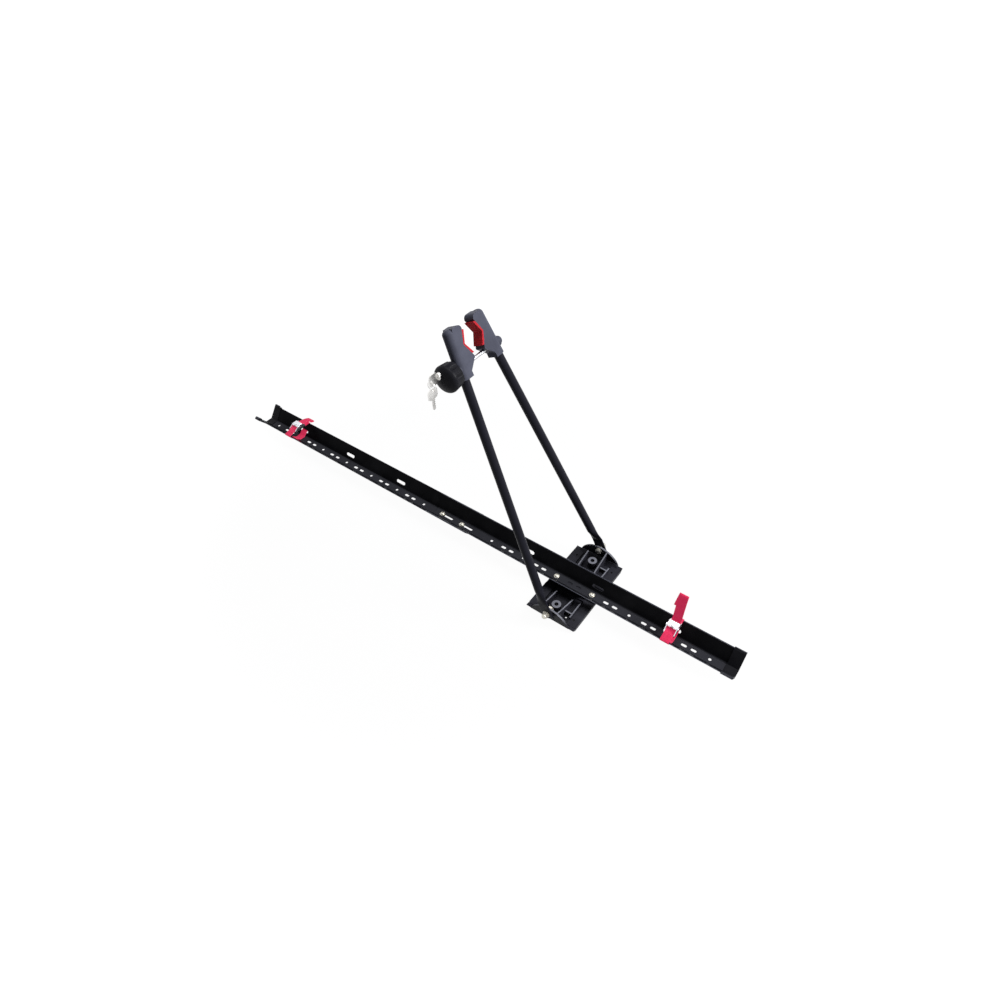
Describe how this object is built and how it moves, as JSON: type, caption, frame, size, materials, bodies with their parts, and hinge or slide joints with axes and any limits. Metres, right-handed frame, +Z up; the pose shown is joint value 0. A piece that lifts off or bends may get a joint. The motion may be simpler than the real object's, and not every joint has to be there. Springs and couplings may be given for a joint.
{
  "type": "roof mounted bike carrier",
  "caption": "Wheel channel on a ribbed crossbar foot, with folding arms, padded clamp jaws, a lockable screw knob and cam-buckle wheel straps.",
  "frame": {"origin": "middle of the foot's underside, where it sits on the crossbar", "axes": "+X along the wheel channel towards its front end, +Y across it towards the far arm, +Z up"},
  "size_m": [1.4672, 0.2652, 0.6097],
  "materials": {
    "channel_black": "gloss black paint",
    "tube_black": "satin black powder coat",
    "foot_black": "moulded, fine grain",
    "cap_black": "moulded, fine grain",
    "jaw_grey": "moulded, fine grain",
    "knob_black": "moulded, fine grain",
    "pad_red": "matte",
    "strap_red": "woven webbing",
    "zinc": "bright zinc plate",
    "buckle_zinc": "bright zinc plate",
    "rod_chrome": "polished",
    "nickel": "nickel plate",
    "brass": "turned",
    "spring_steel": "bright wire"
  },
  "bodies": {
    "carrier": {"foot": "foot_black", "foot_screws": "zinc", "foot_washers": "zinc", "foot_nuts": "zinc", "front_channel": "channel_black", "front_end_cap": "cap_black", "joint_screws": "zinc", "joint_washers": "zinc", "joint_nuts": "zinc", "front_strap": "strap_red", "front_buckle_frame": "buckle_zinc", "front_buckle_pin": "buckle_zinc", "front_buckle_spring": "spring_steel"},
    "rear_slide": {"rear_channel": "channel_black", "rear_end_cap": "cap_black", "rear_strap": "strap_red", "rear_buckle_frame": "buckle_zinc", "rear_buckle_pin": "buckle_zinc", "rear_buckle_spring": "spring_steel"},
    "far_arm": {"far_arm_tube": "tube_black", "far_jaw": "jaw_grey", "far_jaw_pad": "pad_red", "far_pivot_bolt": "zinc", "far_pivot_washers": "zinc", "far_pivot_nut": "zinc", "clamp_rod": "rod_chrome", "rod_cap_nut": "jaw_grey"},
    "near_pivot": {"near_pivot_bolt": "zinc", "near_pivot_washers": "zinc", "near_pivot_nut": "zinc"},
    "near_arm": {"near_arm_tube": "tube_black", "near_jaw": "jaw_grey", "near_jaw_pad": "pad_red"},
    "thrust": {"thrust_washer": "zinc"},
    "clamp_knob": {"knob": "knob_black", "knob_insert": "brass", "lock_barrel": "nickel"},
    "lock_core": {"lock_plug": "nickel", "key_in_lock": "nickel"},
    "ring": {"key_ring": "nickel"},
    "spare": {"spare_key": "nickel"},
    "front_lever": {"front_buckle_lever": "buckle_zinc"},
    "rear_lever": {"rear_buckle_lever": "buckle_zinc"}
  },
  "joints": [
    {"name": "arm_fold", "type": "hinge", "parent": "carrier", "child": "far_arm", "pos_m": [-0.002, 0.1131, 0.0325], "axis": [0, 1, 0], "range_deg": [-59, 40]},
    {"name": "near_arm_fold", "type": "hinge", "parent": "carrier", "child": "near_pivot", "pos_m": [-0.002, -0.1131, 0.0325], "axis": [0, 1, 0], "range_deg": [-59, 40]},
    {"name": "clamp_slide", "type": "slide", "parent": "far_arm", "child": "thrust", "axis": [0, 1, 0], "range_m": [-0.0115, 0.0115]},
    {"name": "knob_spin", "type": "hinge", "parent": "thrust", "child": "clamp_knob", "pos_m": [-0.24507, -0.085, 0.53755], "axis": [0, 1, 0], "range_deg": [-3240, 3240]},
    {"name": "near_arm_lean", "type": "hinge", "parent": "near_pivot", "child": "near_arm", "pos_m": [-0.002, -0.1131, 0.0325], "axis": [-0.9011, 0, -0.4337], "range_deg": [-1.18, 1.18]},
    {"name": "key_turn", "type": "hinge", "parent": "clamp_knob", "child": "lock_core", "pos_m": [-0.25207, -0.105, 0.54945], "axis": [0, 1, 0], "range_deg": [0, 90]},
    {"name": "ring_swing", "type": "hinge", "parent": "lock_core", "child": "ring", "pos_m": [-0.25207, -0.1235, 0.54775], "axis": [1, 0, 0], "range_deg": [-80, 10]},
    {"name": "spare_key_swing", "type": "hinge", "parent": "ring", "child": "spare", "pos_m": [-0.25207, -0.1235, 0.53875], "axis": [0, 1, 0], "range_deg": [-100, 100]},
    {"name": "front_buckle_lift", "type": "hinge", "parent": "carrier", "child": "front_lever", "pos_m": [0.238, -0.001, 0.0507], "axis": [1, 0, 0], "range_deg": [0, 55], "stiffness_Nm_per_rad": 0.03, "springref_deg": -34.38},
    {"name": "rear_slide_out", "type": "slide", "parent": "carrier", "child": "rear_slide", "axis": [-1, 0, 0], "range_m": [-0.0055, 0.03]},
    {"name": "rear_buckle_lift", "type": "hinge", "parent": "rear_slide", "child": "rear_lever", "pos_m": [-0.939, -0.001, 0.0507], "axis": [1, 0, 0], "range_deg": [0, 55], "stiffness_Nm_per_rad": 0.03, "springref_deg": -34.38}
  ],
  "couplings": [
    {"joint": "near_arm_fold", "follows": "arm_fold", "ratio": 1},
    {"joint": "clamp_slide", "follows": "knob_spin", "m_per_rad": 0.00019894},
    {"joint": "near_arm_lean", "follows": "knob_spin", "ratio": 0.00035494}
  ]
}
